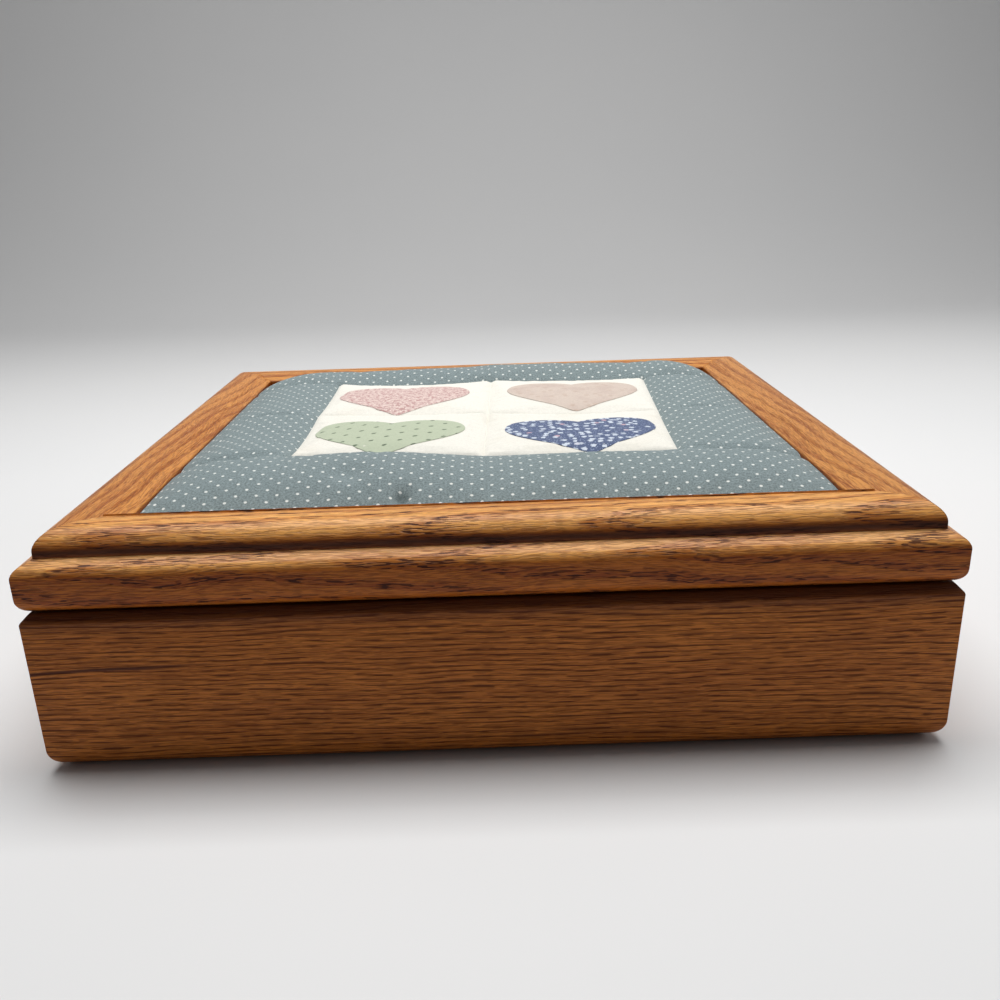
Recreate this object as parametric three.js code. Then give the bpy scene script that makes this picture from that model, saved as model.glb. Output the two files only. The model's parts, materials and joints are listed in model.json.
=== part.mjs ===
// A trinket box in oak. Its lid lifts off, and frames a padded patchwork top with four hearts.
// Millimetres, +Z up. The front faces -Y, and the origin is the middle of the underside.

import * as THREE from 'three';

// Box, mitred from four boards
const boxWidth = 254;
const boxDepth = 254;
const sideHeight = 47.5;
const sideThickness = 12.7;
const footRounding = 6.35;
const rimChamferWidth = 2.3;
const rimChamferHeight = 2.4;

// Bottom panel, let into a groove round the boards
const bottomThickness = 4;
const bottomRaise = 6.8;
const grooveDepth = 5;
const grooveSlack = 0.5;

// Lid frame, mitred from four moulded rails; heights are above the lid's underside
const railWidth = 26;
const undercutWidth = 4.6;
const undercutHeight = 5.4;
const faceHeight = 9;
const easingWidth = 2.7;
const easingHeight = 4.1;
const ledgeWidth = 5;
const ledgeHeight = 14.3;
const filletSlope = 0.2;
const filletHeight = 1.5;
const noseWidth = 7.3;
const noseHeight = 5.6;
const crestWidth = 1;
const innerFall = 2.2;

// Mounting board in the lid's rabbet, and the backing panel that drops into the box's mouth
const rabbetLip = 6;
const boardThickness = 3.2;
const boardRecess = 1;
const boardClearance = 0.7;
const backingThickness = 4.5;
const mouthClearance = 1;

// Pad and patchwork; heights are above the rails' inner edge
const padClearance = 0.6;
const crownHeight = 2.2;
const domeRise = 2.8;
const domePower = 3;
const edgeSink = 1.7;
const edgeRun = 17;
const edgePower = 2;
const cornerPower = 1.4;

// Patchwork layout: a block of four squares, a little wider at the back, with a strip on each side
const blockFrontWidth = 126;
const blockBackWidth = 132;
const blockDepth = 123.5;
const blockShift = 4;
const blockTurn = -1.65;
const clothThickness = 0.5;
const seamDepth = 1.6;
const seamDepthAtCrossings = 0.5;
const seamSpread = 6;

// Hearts, all cut to one pattern and sewn on the squares
const heartWidth = 53;
const heartHeight = 42;
const heartThickness = 0.6;

// Air left between pieces that touch, and how finely curves and cloth are stepped
const fitGap = 0.3;
const arcSteps = 7;
const heartSteps = 28;
const heartRings = 5;

const lidBase = sideHeight + fitGap;
const noseBase = ledgeHeight + filletHeight;
const railThickness = noseBase + noseHeight;
const innerEdgeHeight = lidBase + railThickness - innerFall;
const rabbetDepth = boardRecess + boardThickness + fitGap;
const padBase = lidBase + rabbetDepth;
const quiltThickness = seamDepth + clothThickness + fitGap;
const quiltHalfWidth = boxWidth / 2 - railWidth - padClearance;
const quiltHalfDepth = boxDepth / 2 - railWidth - padClearance;

function finish(color, roughness) {
  return new THREE.MeshStandardMaterial({ color, roughness, metalness: 0 });
}

const materials = {
  boxOak: finish(0x8a5630, 0.45),
  lidOak: finish(0xb5763a, 0.38),
  panel: finish(0xc09a6a, 0.7),
  board: finish(0xd8d2c4, 0.85),
  wadding: finish(0xf2f0ea, 0.95),
  borderCloth: finish(0x6f858c, 0.9),
  creamCloth: finish(0xece8dc, 0.9),
  pinkCloth: finish(0xe0b4ae, 0.9),
  beigeCloth: finish(0xd9c4b2, 0.9),
  greenCloth: finish(0xb9c8a8, 0.9),
  navyCloth: finish(0x44527c, 0.9),
};

const model = new THREE.Group();

function addPiece(name, geometry, material) {
  const mesh = new THREE.Mesh(geometry, material.clone());
  mesh.name = name;
  model.add(mesh);
  return mesh;
}

function closedGeometry(points, faces) {
  const geometry = new THREE.BufferGeometry();
  geometry.setAttribute('position', new THREE.Float32BufferAttribute(points.flat(), 3));
  geometry.setIndex(faces.flat());
  geometry.computeVertexNormals();
  return geometry;
}

// A quarter of an ellipse about a centre, from one angle to another
function quarter(centre, radii, fromDegrees, toDegrees) {
  const points = [];
  for (let step = 0; step <= arcSteps; step++) {
    const angle = THREE.MathUtils.degToRad(
      THREE.MathUtils.lerp(fromDegrees, toDegrees, step / arcSteps));
    points.push([
      centre[0] + radii[0] * Math.cos(angle),
      centre[1] + radii[1] * Math.sin(angle),
    ]);
  }
  return points;
}

// Section of a box board, as distance in from the outer face and height, anticlockwise from the foot
function boardProfile() {
  const grooveBottom = bottomRaise - fitGap;
  const grooveTop = bottomRaise + bottomThickness + fitGap;
  const grooveWall = sideThickness - grooveDepth;
  return [
    ...quarter([footRounding, footRounding], [footRounding, footRounding], 180, 270),
    [sideThickness, 0],
    [sideThickness, grooveBottom],
    [grooveWall, grooveBottom],
    [grooveWall, grooveTop],
    [sideThickness, grooveTop],
    [sideThickness, sideHeight],
    [rimChamferWidth, sideHeight],
    [0, sideHeight - rimChamferHeight],
  ];
}

// Section of a lid rail, from the rounded lower edge round to the crowned top and the ledges
function railProfile() {
  const lipStart = railWidth - rabbetLip;
  const filletTop = ledgeWidth + filletSlope;
  const crestStart = filletTop + noseWidth;
  const crestEnd = crestStart + crestWidth;
  const fall = [];
  for (let step = arcSteps; step >= 0; step--) {
    const share = step / arcSteps;
    const across = THREE.MathUtils.lerp(crestEnd, railWidth, share);
    fall.push([across, railThickness - innerFall * share * share]);
  }
  return [
    ...quarter([undercutWidth, undercutHeight], [undercutWidth, undercutHeight], 180, 270),
    [lipStart, 0],
    [lipStart, rabbetDepth],
    [railWidth, rabbetDepth],
    ...fall,
    ...quarter([crestStart, noseBase], [noseWidth, noseHeight], 90, 180),
    [ledgeWidth, ledgeHeight],
    ...quarter([easingWidth, faceHeight], [easingWidth, easingHeight], 90, 180),
  ];
}

// A board along X with its outer face on y = 0 and both ends mitred at 45 degrees
function mitredBoard(profile, length) {
  const endInset = fitGap / Math.SQRT2;
  const count = profile.length;
  const points = [];
  for (const side of [-1, 1]) {
    for (const [across, up] of profile) {
      points.push([side * (length / 2 - across - endInset), across, up]);
    }
  }
  const contour = profile.map(([across, up]) => new THREE.Vector2(across, up));
  const faces = [];
  for (const [a, b, c] of THREE.ShapeUtils.triangulateShape(contour, [])) {
    faces.push([c, b, a], [a + count, b + count, c + count]);
  }
  for (let here = 0; here < count; here++) {
    const next = (here + 1) % count;
    faces.push([here + count, here, next], [here + count, next, next + count]);
  }
  return closedGeometry(points, faces);
}

// Four mitred boards in a ring, the front one first, each turned to face outwards
function addRing(profile, base, names, material) {
  const sides = [
    { length: boxWidth, place: [0, -boxDepth / 2], turn: 0 },
    { length: boxDepth, place: [boxWidth / 2, 0], turn: Math.PI / 2 },
    { length: boxWidth, place: [0, boxDepth / 2], turn: Math.PI },
    { length: boxDepth, place: [-boxWidth / 2, 0], turn: -Math.PI / 2 },
  ];
  sides.forEach((side, index) => {
    const piece = addPiece(names[index], mitredBoard(profile, side.length), material);
    piece.position.set(side.place[0], side.place[1], base);
    piece.rotation.z = side.turn;
  });
}

// A plain sheet set in from the outside of the box by a margin
function addPanel(name, margin, base, thickness, material) {
  const geometry = new THREE.BoxGeometry(boxWidth - 2 * margin, boxDepth - 2 * margin, thickness);
  addPiece(name, geometry, material).position.z = base + thickness / 2;
}

// Corners of the patchwork block and the points where its seams meet
function blockPoint(across, along) {
  const width = THREE.MathUtils.lerp(blockFrontWidth, blockBackWidth, (along + 1) / 2);
  const turn = THREE.MathUtils.degToRad(blockTurn);
  const x = across * width / 2;
  const y = along * blockDepth / 2;
  return [
    x * Math.cos(turn) - y * Math.sin(turn),
    blockShift + x * Math.sin(turn) + y * Math.cos(turn),
  ];
}

// Where the line of a front or back seam reaches the side of the opening
function seamEnd(across, along) {
  const near = blockPoint(across, along);
  const far = blockPoint(-across, along);
  const x = across * quiltHalfWidth;
  const share = (x - near[0]) / (near[0] - far[0]);
  return [x, near[1] + share * (near[1] - far[1])];
}

function seamSegments() {
  const segments = [];
  for (const end of [-1, 1]) {
    segments.push([seamEnd(-1, end), blockPoint(-1, end)], [blockPoint(1, end), seamEnd(1, end)]);
  }
  for (const line of [-1, 0, 1]) {
    for (const end of [-1, 1]) {
      segments.push([blockPoint(0, line), blockPoint(end, line)]);
      segments.push([blockPoint(line, 0), blockPoint(line, end)]);
    }
  }
  return segments;
}

const seams = seamSegments();

// How far the stitching pulls the cloth down here: most at the middle of a seam
function seamPull(x, y) {
  let pull = 0;
  for (const [start, end] of seams) {
    const run = [end[0] - start[0], end[1] - start[1]];
    const share = THREE.MathUtils.clamp(
      ((x - start[0]) * run[0] + (y - start[1]) * run[1]) / (run[0] ** 2 + run[1] ** 2), 0, 1);
    const distance = Math.hypot(x - start[0] - share * run[0], y - start[1] - share * run[1]);
    const depth = THREE.MathUtils.lerp(
      seamDepthAtCrossings, seamDepth, Math.sin(Math.PI * share) ** 2);
    pull = Math.max(pull, depth * Math.exp(-((distance / seamSpread) ** 2)));
  }
  return pull;
}

// The stuffed crown without its seams: a low dome that rolls over to sink beside the rails
function crownAt(x, y) {
  const drop = [quiltHalfWidth - Math.abs(x), quiltHalfDepth - Math.abs(y)].map((inset) => {
    const share = Math.max(0, 1 - Math.max(inset, 0) / edgeRun);
    return (crownHeight + edgeSink) * share ** edgePower;
  });
  const sink = (drop[0] ** cornerPower + drop[1] ** cornerPower) ** (1 / cornerPower);
  const dome = (1 - Math.abs(x / quiltHalfWidth) ** domePower)
    * (1 - Math.abs(y / quiltHalfDepth) ** domePower);
  return innerEdgeHeight + crownHeight + domeRise * dome - sink;
}

function quiltTop(x, y) {
  return crownAt(x, y) - seamPull(x, y);
}

function padTop(x, y) {
  return crownAt(x, y) - quiltThickness;
}

// Even steps from 0 to 1, drawn closer together towards both ends
function bunchedSteps(count, tightness) {
  return Array.from({ length: count + 1 }, (_, step) => {
    const even = step / count;
    return even - tightness * Math.sin(2 * Math.PI * even) / (2 * Math.PI);
  });
}

function mix(from, to, share) {
  return [0, 1].map((axis) => THREE.MathUtils.lerp(from[axis], to[axis], share));
}

// A closed slab over a four-cornered plan, with its own height above and below each grid point
function slab(corners, columns, rows, topAt, bottomAt) {
  const points = [];
  for (const heightAt of [bottomAt, topAt]) {
    for (const row of rows) {
      for (const column of columns) {
        const [x, y] = mix(mix(corners[0], corners[1], column), mix(corners[3], corners[2], column), row);
        points.push([x, y, heightAt(x, y)]);
      }
    }
  }
  const wide = columns.length;
  const layer = wide * rows.length;
  const faces = [];
  for (let row = 0; row + 1 < rows.length; row++) {
    for (let column = 0; column + 1 < wide; column++) {
      const a = row * wide + column;
      const [b, c, d] = [a + 1, a + wide + 1, a + wide];
      faces.push([a, c, b], [a, d, c]);
      faces.push([a + layer, b + layer, c + layer], [a + layer, c + layer, d + layer]);
    }
  }
  const rim = [];
  for (let column = 0; column + 1 < wide; column++) rim.push(column);
  for (let row = 0; row + 1 < rows.length; row++) rim.push(row * wide + wide - 1);
  for (let column = wide - 1; column > 0; column--) rim.push((rows.length - 1) * wide + column);
  for (let row = rows.length - 1; row > 0; row--) rim.push(row * wide);
  rim.forEach((here, index) => {
    const next = rim[(index + 1) % rim.length];
    faces.push([here, next, next + layer], [here, next + layer, here + layer]);
  });
  return closedGeometry(points, faces);
}

// A patch sewn in place: its edges stop half a gap short of each seam, and it lies on the pad
function addPatch(name, corners, stepsAcross, stepsAlong, material) {
  const middle = mix(mix(corners[0], corners[2], 0.5), mix(corners[1], corners[3], 0.5), 0.5);
  const inset = corners.map((corner) => [0, 1].map(
    (axis) => corner[axis] - Math.sign(corner[axis] - middle[axis]) * fitGap / 2));
  const geometry = slab(inset, bunchedSteps(stepsAcross, 0.55), bunchedSteps(stepsAlong, 0.4),
    quiltTop, (x, y) => padTop(x, y) + fitGap);
  addPiece(name, geometry, material);
}

function addBorderStrips() {
  const [w, d] = [quiltHalfWidth, quiltHalfDepth];
  addPatch('border_front', [[-w, -d], [w, -d], seamEnd(1, -1), seamEnd(-1, -1)], 26, 9,
    materials.borderCloth);
  addPatch('border_back', [seamEnd(-1, 1), seamEnd(1, 1), [w, d], [-w, d]], 26, 9,
    materials.borderCloth);
  addPatch('border_left', [seamEnd(-1, -1), blockPoint(-1, -1), blockPoint(-1, 1), seamEnd(-1, 1)],
    8, 14, materials.borderCloth);
  addPatch('border_right', [blockPoint(1, -1), seamEnd(1, -1), seamEnd(1, 1), blockPoint(1, 1)],
    8, 14, materials.borderCloth);
}

function addSquares() {
  for (const [row, along] of [['front', -1], ['back', 0]]) {
    for (const [column, across] of [['left', -1], ['right', 0]]) {
      const corners = [
        blockPoint(across, along),
        blockPoint(across + 1, along),
        blockPoint(across + 1, along + 1),
        blockPoint(across, along + 1),
      ];
      addPatch(`square_${row}_${column}`, corners, 10, 10, materials.creamCloth);
    }
  }
}

// Outline of a heart, point down, centred on its widest line, with two full lobes and a small notch
function heartOutline() {
  const [w, h] = [heartWidth / 2, heartHeight];
  const shape = new THREE.Shape();
  shape.moveTo(0, h * 0.12);
  shape.bezierCurveTo(w * 0.14, h * 0.26, w * 0.98, h * 0.43, w, 0);
  shape.bezierCurveTo(w, h * -0.24, w * 0.58, h * -0.53, 0, h * -0.74);
  shape.bezierCurveTo(w * -0.58, h * -0.53, -w, h * -0.24, -w, 0);
  shape.bezierCurveTo(w * -0.98, h * 0.43, w * -0.14, h * 0.26, 0, h * 0.12);
  return shape.getSpacedPoints(heartSteps).slice(0, heartSteps).reverse();
}

// A heart lying on its square: rings of points shrink from the outline to the middle
function addHeart(name, square, shift, turnDegrees, material) {
  const centre = blockPoint(square[0] / 2, square[1] / 2);
  const turn = THREE.MathUtils.degToRad(turnDegrees);
  const outline = heartOutline().map((point) => point.rotateAround(new THREE.Vector2(), turn));
  const plan = [[0, 0]];
  for (let ring = 1; ring <= heartRings; ring++) {
    const share = (ring / heartRings) ** 0.8;
    for (const point of outline) plan.push([point.x * share, point.y * share]);
  }
  const points = [];
  for (const lift of [fitGap, fitGap + heartThickness]) {
    for (const [dx, dy] of plan) {
      const x = centre[0] + shift[0] + dx;
      const y = centre[1] + shift[1] + dy;
      points.push([x, y, quiltTop(x, y) + lift]);
    }
  }
  const layer = plan.length;
  const faces = [];
  const addBothSides = (a, b, c) => faces.push([a + layer, b + layer, c + layer], [a, c, b]);
  for (let step = 0; step < heartSteps; step++) {
    const next = (step + 1) % heartSteps;
    addBothSides(0, 1 + step, 1 + next);
    for (let ring = 1; ring < heartRings; ring++) {
      const inner = 1 + (ring - 1) * heartSteps;
      const outer = inner + heartSteps;
      addBothSides(inner + step, outer + step, outer + next);
      addBothSides(inner + step, outer + next, inner + next);
    }
    const rim = 1 + (heartRings - 1) * heartSteps;
    faces.push([rim + step, rim + next, rim + next + layer]);
    faces.push([rim + step, rim + next + layer, rim + step + layer]);
  }
  addPiece(name, closedGeometry(points, faces), material);
}

function addBox() {
  addRing(boardProfile(), 0, ['box_front', 'box_right', 'box_back', 'box_left'], materials.boxOak);
  addPanel('box_bottom', sideThickness - grooveDepth + grooveSlack, bottomRaise, bottomThickness,
    materials.panel);
}

function addLid() {
  const names = ['lid_rail_front', 'lid_rail_right', 'lid_rail_back', 'lid_rail_left'];
  addRing(railProfile(), lidBase, names, materials.lidOak);
  addPanel('lid_mounting_board', railWidth - rabbetLip + boardClearance, lidBase + boardRecess,
    boardThickness, materials.board);
  addPanel('lid_backing_panel', sideThickness + mouthClearance, lidBase - fitGap - backingThickness,
    backingThickness, materials.panel);
}

function addPad() {
  const [w, d] = [quiltHalfWidth, quiltHalfDepth];
  const steps = bunchedSteps(18, 0.6);
  const geometry = slab([[-w, -d], [w, -d], [w, d], [-w, d]], steps, steps, padTop, () => padBase);
  addPiece('lid_pad', geometry, materials.wadding);
}

addBox();
addLid();
addPad();
addBorderStrips();
addSquares();
addHeart('heart_green', [-1, -1], [-1.5, -0.3], -3, materials.greenCloth);
addHeart('heart_navy', [1, -1], [1.3, 0.8], 3, materials.navyCloth);
addHeart('heart_pink', [-1, 1], [-1.8, 0.8], -2, materials.pinkCloth);
addHeart('heart_beige', [1, 1], [1.1, 1.6], -1, materials.beigeCloth);

export default model;
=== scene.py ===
import json
import math

import bmesh
import bpy
from mathutils import Matrix, Vector

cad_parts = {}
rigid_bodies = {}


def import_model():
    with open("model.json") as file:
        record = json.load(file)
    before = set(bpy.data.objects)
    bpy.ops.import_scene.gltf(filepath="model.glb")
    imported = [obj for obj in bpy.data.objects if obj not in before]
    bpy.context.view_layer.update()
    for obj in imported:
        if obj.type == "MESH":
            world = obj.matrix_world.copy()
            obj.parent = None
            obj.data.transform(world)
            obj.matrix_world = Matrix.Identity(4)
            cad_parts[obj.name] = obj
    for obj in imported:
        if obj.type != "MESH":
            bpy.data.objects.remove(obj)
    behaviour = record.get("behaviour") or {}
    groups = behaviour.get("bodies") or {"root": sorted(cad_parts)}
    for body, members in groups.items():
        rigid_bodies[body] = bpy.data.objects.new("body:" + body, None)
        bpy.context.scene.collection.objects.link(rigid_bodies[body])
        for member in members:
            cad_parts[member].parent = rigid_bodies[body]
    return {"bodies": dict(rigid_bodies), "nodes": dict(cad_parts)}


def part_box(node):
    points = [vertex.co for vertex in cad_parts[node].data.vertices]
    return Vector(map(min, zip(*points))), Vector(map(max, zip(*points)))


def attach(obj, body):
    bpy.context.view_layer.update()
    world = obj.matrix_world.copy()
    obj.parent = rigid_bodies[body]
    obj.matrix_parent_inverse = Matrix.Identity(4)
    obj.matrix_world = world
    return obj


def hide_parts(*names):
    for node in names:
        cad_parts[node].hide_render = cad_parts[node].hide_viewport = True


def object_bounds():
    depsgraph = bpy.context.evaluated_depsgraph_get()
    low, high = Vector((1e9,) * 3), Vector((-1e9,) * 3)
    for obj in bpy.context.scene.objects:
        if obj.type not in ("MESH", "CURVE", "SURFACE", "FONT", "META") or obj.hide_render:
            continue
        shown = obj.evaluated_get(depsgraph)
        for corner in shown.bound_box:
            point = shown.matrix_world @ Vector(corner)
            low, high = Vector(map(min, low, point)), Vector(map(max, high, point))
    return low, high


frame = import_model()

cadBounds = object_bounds()
mm = 0.001
outToFront = Vector((0, -1, 0))
up = Vector((0, 0, 1))

# Places taken from the frame, in metres; the two half widths are in millimetres
boardLow, boardHigh = (Vector(corner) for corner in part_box("box_front"))
railLow, railHigh = (Vector(corner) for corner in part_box("lid_rail_front"))
padLow, padHigh = (Vector(corner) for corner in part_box("lid_pad"))
pastPad = 0.5  # how far the cloth reaches past the solid pad, towards the rails
padHalf = padHigh.x / mm + pastPad
boxHalf = round(cadBounds[1][0] / mm, 3)


# Camera, at the photograph's viewing angle
photoView = {
    "place": (0.001, -0.379, 0.15333),
    "turnRight": 0.26,
    "tiltDown": 21.29,
    "roll": -1.82,
    "lens": 36.85,
    "sensor": 36.0,
    "shiftUp": 0.0746,
}


def addCamera(view):
    bpy.ops.object.camera_add(location=view["place"])
    camera = bpy.context.object
    camera.name = "photo_camera"
    camera.data.sensor_width = view["sensor"]
    camera.data.lens = view["lens"]
    camera.data.shift_y = view["shiftUp"]
    turn, tilt, roll = (math.radians(view[key]) for key in ("turnRight", "tiltDown", "roll"))
    forward = Vector((math.sin(turn) * math.cos(tilt), math.cos(turn) * math.cos(tilt), -math.sin(tilt)))
    level = Vector((math.cos(turn), -math.sin(turn), 0))
    top = level.cross(forward)
    side = level * math.cos(roll) + top * math.sin(roll)
    top = top * math.cos(roll) - level * math.sin(roll)
    facing = Matrix((side, top, -forward)).transposed().to_4x4()
    camera.matrix_world = Matrix.Translation(view["place"]) @ facing
    bpy.context.scene.camera = camera


addCamera(photoView)
print("camera placed")


# Modelling helpers
def startClean():
    if bpy.context.object and bpy.context.object.mode == "EDIT":
        bpy.ops.object.mode_set(mode="OBJECT")
    bpy.ops.object.select_all(action="DESELECT")


def makeActive(piece):
    startClean()
    piece.select_set(True)
    bpy.context.view_layer.objects.active = piece


def pick(kind, test):
    # Selects the vertices, edges or faces whose middle passes the test
    bpy.ops.mesh.select_mode(type=kind)
    bpy.ops.mesh.select_all(action="DESELECT")
    mesh = bmesh.from_edit_mesh(bpy.context.object.data)
    if kind == "VERT":
        for vert in mesh.verts:
            vert.select = test(vert.co)
    if kind == "EDGE":
        for edge in mesh.edges:
            edge.select = test((edge.verts[0].co + edge.verts[1].co) / 2, edge)
    if kind == "FACE":
        for face in mesh.faces:
            face.select = test(face.calc_center_median(), face.normal)
    mesh.select_flush_mode()
    bmesh.update_edit_mesh(bpy.context.object.data)


def cutAt(point, normal, drop=False):
    bpy.ops.mesh.select_all(action="SELECT")
    bpy.ops.mesh.bisect(plane_co=point, plane_no=normal, use_fill=drop, clear_outer=drop, threshold=1e-6)


def near(first, second, slack=0.02 * mm):
    return abs(first - second) < slack


def runsAlong(edge):
    return abs((edge.verts[1].co - edge.verts[0].co).normalized().x) > 0.9


def roundEdge(across, height, radius, segments, profile=0.5):
    # Rounds the long edge that lies at this place in the section
    pick("EDGE", lambda middle, edge: runsAlong(edge) and near(middle.y, across) and near(middle.z, height))
    bpy.ops.mesh.bevel(offset=radius, segments=segments, profile=profile, affect="EDGES")


def moveVerts(test, shift):
    pick("VERT", test)
    bpy.ops.transform.translate(value=shift)


def stretchVerts(test, scale, centre):
    pick("VERT", test)
    bpy.ops.transform.resize(value=scale, center_override=centre)


def addBlock(name, low, high):
    startClean()
    middle = (Vector(low) + Vector(high)) / 2
    bpy.ops.mesh.primitive_cube_add(size=1, location=middle, scale=Vector(high) - Vector(low))
    piece = bpy.context.object
    piece.name = name
    bpy.ops.object.transform_apply(location=True, rotation=True, scale=True)
    bpy.ops.object.mode_set(mode="EDIT")
    return piece


def mitreEnds(joint):
    # Cuts both ends at 45 degrees and takes the sharpness off the cut edges
    for side in (1, -1):
        cutAt((-side * joint["gap"] * mm, 0, 0), (side, 1, 0), drop=True)
    pick("EDGE", lambda middle, edge: any(
        abs(face.normal.x) > 0.6 and abs(face.normal.y) > 0.6 for face in edge.link_faces)
        and not all(abs(face.normal.x) > 0.6 for face in edge.link_faces))
    bpy.ops.mesh.bevel(offset=joint["ease"] * mm, segments=1, affect="EDGES")


def finishMesh(piece, angle):
    bpy.ops.mesh.select_mode(type="VERT")
    bpy.ops.mesh.select_all(action="SELECT")
    bpy.ops.mesh.remove_doubles(threshold=1e-6)
    bpy.ops.mesh.normals_make_consistent(inside=False)
    bpy.ops.object.mode_set(mode="OBJECT")
    bpy.ops.object.shade_smooth_by_angle(angle=math.radians(angle))


def copyTurned(piece, name, quarterTurns):
    # A copy with its own mesh, turned about the middle of the box
    makeActive(piece)
    bpy.ops.object.duplicate(linked=False)
    copy = bpy.context.object
    copy.name = name
    copy.data.name = name
    copy.data.transform(Matrix.Rotation(math.radians(90) * quarterTurns, 4, "Z"))
    return copy


# Box boards, mitred at the corners
boardShape = {
    "gap": 0.1,
    "ease": 0.12,
    "footRounding": 6.35,
    "footSegments": 12,
    "rimChamfer": 2.3,
    "rimEasing": 0.5,
    "grooveLow": 6.5,
    "grooveHigh": 11.1,
    "grooveDepth": 5.0,
    "smoothAngle": 32,
}


def makeBoard(shape):
    board = addBlock("box_front_board", boardLow, boardHigh)
    face, inside = boardLow.y, boardHigh.y
    for height in (shape["grooveLow"], shape["grooveHigh"]):
        cutAt((0, 0, height * mm), up)
    pick("FACE", lambda middle, normal: near(middle.y, inside)
         and shape["grooveLow"] * mm < middle.z < shape["grooveHigh"] * mm)
    bpy.ops.mesh.extrude_region_move(TRANSFORM_OT_translate={"value": (0, -shape["grooveDepth"] * mm, 0)})
    roundEdge(face, boardLow.z, shape["footRounding"] * mm, shape["footSegments"])
    roundEdge(face, boardHigh.z, shape["rimChamfer"] * mm, 1)
    roundEdge(face, boardHigh.z - shape["rimChamfer"] * mm, shape["rimEasing"] * mm, 3)
    roundEdge(face + shape["rimChamfer"] * mm, boardHigh.z, shape["rimEasing"] * mm, 3)
    mitreEnds(shape)
    finishMesh(board, shape["smoothAngle"])
    return board


# Lid rails, cut to one moulding; across is in from the outer face, heights are above the rail's underside
railShape = {
    "gap": 0.04,
    "ease": 0.05,
    "lip": 20.0,
    "rabbet": 4.5,
    "ledgeAcross": 5.0,
    "ledgeHeight": 14.3,
    "ledgeFall": 2.44,
    "ledgeEasing": 2.0,
    "filletSlope": 0.2,
    "undercut": (4.6, 5.4),
    "nose": (7.3, 5.6),
    "crestAcross": 13.5,
    "innerFall": 2.2,
    "crownCuts": 6,
    "innerEasing": 0.5,
    "smoothAngle": 32,
}


def makeRail(shape):
    face, base, top = railLow.y, railLow.z, railHigh.z
    lip = face + shape["lip"] * mm
    ledge = base + shape["ledgeHeight"] * mm
    rail = addBlock("lid_front_rail", railLow, (railHigh.x, lip, ledge))
    cutAt((0, 0, base + shape["rabbet"] * mm), up)
    pick("FACE", lambda middle, normal: near(middle.y, lip) and middle.z > base + shape["rabbet"] * mm)
    bpy.ops.mesh.extrude_region_move(TRANSFORM_OT_translate={"value": (0, railHigh.y - lip, 0)})
    cutAt((0, face + shape["ledgeAcross"] * mm, 0), outToFront)
    pick("FACE", lambda middle, normal: near(middle.z, ledge)
         and middle.y > face + shape["ledgeAcross"] * mm)
    bpy.ops.mesh.extrude_region_move(TRANSFORM_OT_translate={"value": (0, 0, top - ledge)})
    noseStart = face + (shape["ledgeAcross"] + shape["filletSlope"]) * mm
    moveVerts(lambda co: near(co.z, top) and near(co.y, face + shape["ledgeAcross"] * mm),
              (0, shape["filletSlope"] * mm, 0))
    moveVerts(lambda co: near(co.z, ledge) and near(co.y, face), (0, 0, -shape["ledgeFall"] * mm))
    roundEdge(face, ledge - shape["ledgeFall"] * mm, shape["ledgeEasing"] * mm, 7)

    # The lower edge and the nose are quarter ellipses: a round bevel, then a stretch across
    cutWide, cutHigh = shape["undercut"]
    roundEdge(face, base, cutHigh * mm, 10)
    stretchVerts(lambda co: co.y < face + (cutHigh + 0.05) * mm and co.z < base + (cutHigh - 0.01) * mm,
                 (1, cutWide / cutHigh, 1), (0, face, 0))
    noseWide, noseHigh = shape["nose"]
    roundEdge(noseStart, top, noseHigh * mm, 14)
    stretchVerts(lambda co: noseStart - 0.01 * mm < co.y < noseStart + (noseHigh + 0.05) * mm
                 and co.z > top - (noseHigh + 0.05) * mm, (1, noseWide / noseHigh, 1), (0, noseStart, 0))

    # The top is crowned: it falls away from the crest to the inner edge
    crest = face + shape["crestAcross"] * mm
    for step in range(shape["crownCuts"]):
        cutAt((0, crest + (railHigh.y - crest) * step / shape["crownCuts"], 0), outToFront)
    for step in range(1, shape["crownCuts"] + 1):
        share = step / shape["crownCuts"]
        line = crest + (railHigh.y - crest) * share
        fall = shape["innerFall"] * share ** 2 * mm
        moveVerts(lambda co: near(co.y, line) and near(co.z, top), (0, 0, -fall))
    roundEdge(railHigh.y, top - shape["innerFall"] * mm, shape["innerEasing"] * mm, 3)
    mitreEnds(shape)
    finishMesh(rail, shape["smoothAngle"])
    return rail


sideNames = ("front", "right", "back", "left")
boards = {"front": makeBoard(boardShape)}
rails = {"front": makeRail(railShape)}
for turns, side in enumerate(sideNames[1:], start=1):
    boards[side] = copyTurned(boards["front"], f"box_{side}_board", turns)
    rails[side] = copyTurned(rails["front"], f"lid_{side}_rail", turns)
for side in sideNames:
    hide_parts(f"box_{side}")
    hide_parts(f"lid_rail_{side}")
print("boards and rails modelled")


# Patchwork: a block of four squares, wider at the back, and a border strip on each side; millimetres
patchwork = {
    "frontWidth": 126.0,
    "backWidth": 132.0,
    "depth": 123.5,
    "middle": (0.0, 4.0),
    "turn": -1.65,
    "stripCells": 20,
    "squareCells": 32,
    "thickness": 0.45,
    "seamRoll": 0.3,
    "rimKept": 0.6,
    "smoothAngle": 50,
}

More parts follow.
